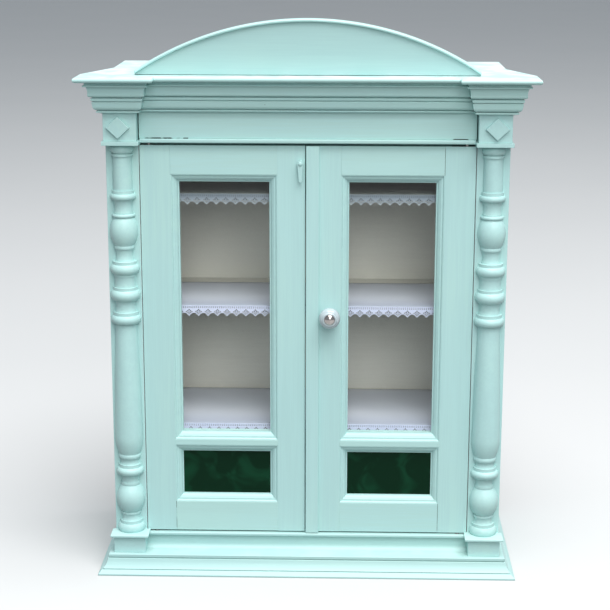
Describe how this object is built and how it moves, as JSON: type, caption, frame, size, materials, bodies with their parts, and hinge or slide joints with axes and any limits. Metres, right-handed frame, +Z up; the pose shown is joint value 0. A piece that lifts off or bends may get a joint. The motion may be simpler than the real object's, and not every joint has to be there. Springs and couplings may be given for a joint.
{
  "type": "wall display cabinet",
  "caption": "Hanging display cabinet in painted wood with glazed doors between half-turned columns, moulded cornice, arched pediment and lace-edged shelves.",
  "frame": {"origin": "middle of the footprint, on the surface under the base", "axes": "+X to the right as the cabinet is seen from the front, +Y from the front to the wall, +Z up"},
  "size_m": [0.674, 0.289, 0.8519],
  "materials": {
    "mint_paint": "satin paint, brushed, worn at the edges",
    "inside_paint": "matt paint, beige",
    "clear_glass": "clear, slightly uneven",
    "green_glass": "dark green, rippled",
    "porcelain": "white glaze",
    "chrome": "polished",
    "steel": "dull",
    "cotton": "white cotton with a lace edge"
  },
  "bodies": {
    "carcass": {"back_panel": "inside_paint", "base_moulding": "mint_paint", "base_returns": "mint_paint", "base_riser": "mint_paint", "capital_blocks": "mint_paint", "capital_diamonds": "mint_paint", "capital_plates": "mint_paint", "cornice_centre": "mint_paint", "cornice_left": "mint_paint", "cornice_right": "mint_paint", "door_sill": "mint_paint", "door_stops": "mint_paint", "floor_board": "inside_paint", "frieze_bead": "mint_paint", "frieze_board": "mint_paint", "half_column_left": "mint_paint", "half_column_right": "mint_paint", "hanger_plates": "steel", "hanger_screws": "steel", "pediment_bead": "mint_paint", "pediment_board": "mint_paint", "pilaster_left": "mint_paint", "pilaster_right": "mint_paint", "pivot_bushes": "steel", "plinth_blocks": "mint_paint", "plinth_plates": "mint_paint", "runner_lower": "cotton", "runner_middle": "cotton", "runner_upper": "cotton", "shelf_battens": "inside_paint", "shelf_lower": "inside_paint", "shelf_middle": "inside_paint", "shelf_upper": "inside_paint", "side_panel_left": "mint_paint", "side_panel_right": "mint_paint", "top_board": "mint_paint"},
    "left_door": {"left_bottom_rail": "mint_paint", "left_glazing_bar": "mint_paint", "left_hinge_stile": "mint_paint", "left_lower_pane": "green_glass", "left_meeting_stile": "mint_paint", "left_mouldings": "mint_paint", "left_pivots": "steel", "left_top_rail": "mint_paint", "left_upper_pane": "clear_glass", "latch_screw": "mint_paint", "latch_spacer": "mint_paint"},
    "right_door": {"right_bottom_rail": "mint_paint", "right_glazing_bar": "mint_paint", "right_hinge_stile": "mint_paint", "right_lower_pane": "green_glass", "right_meeting_stile": "mint_paint", "right_mouldings": "mint_paint", "right_pivots": "steel", "right_top_rail": "mint_paint", "right_upper_pane": "clear_glass", "cover_strip": "mint_paint", "knob": "porcelain", "knob_bolt": "chrome"},
    "latch": {"turn_latch": "mint_paint"}
  },
  "joints": [
    {"name": "left_door_swing", "type": "hinge", "parent": "carcass", "child": "left_door", "pos_m": [-0.2358, -0.0815, 0.362], "axis": [0, 0, -1], "range_deg": [0, 95]},
    {"name": "right_door_swing", "type": "hinge", "parent": "carcass", "child": "right_door", "pos_m": [0.2358, -0.0815, 0.362], "axis": [0, 0, 1], "range_deg": [0, 95]},
    {"name": "latch_turn", "type": "hinge", "parent": "left_door", "child": "latch", "pos_m": [-0.0105, -0.0923, 0.64], "axis": [0, -1, 0], "range_deg": [-90, 90]}
  ]
}
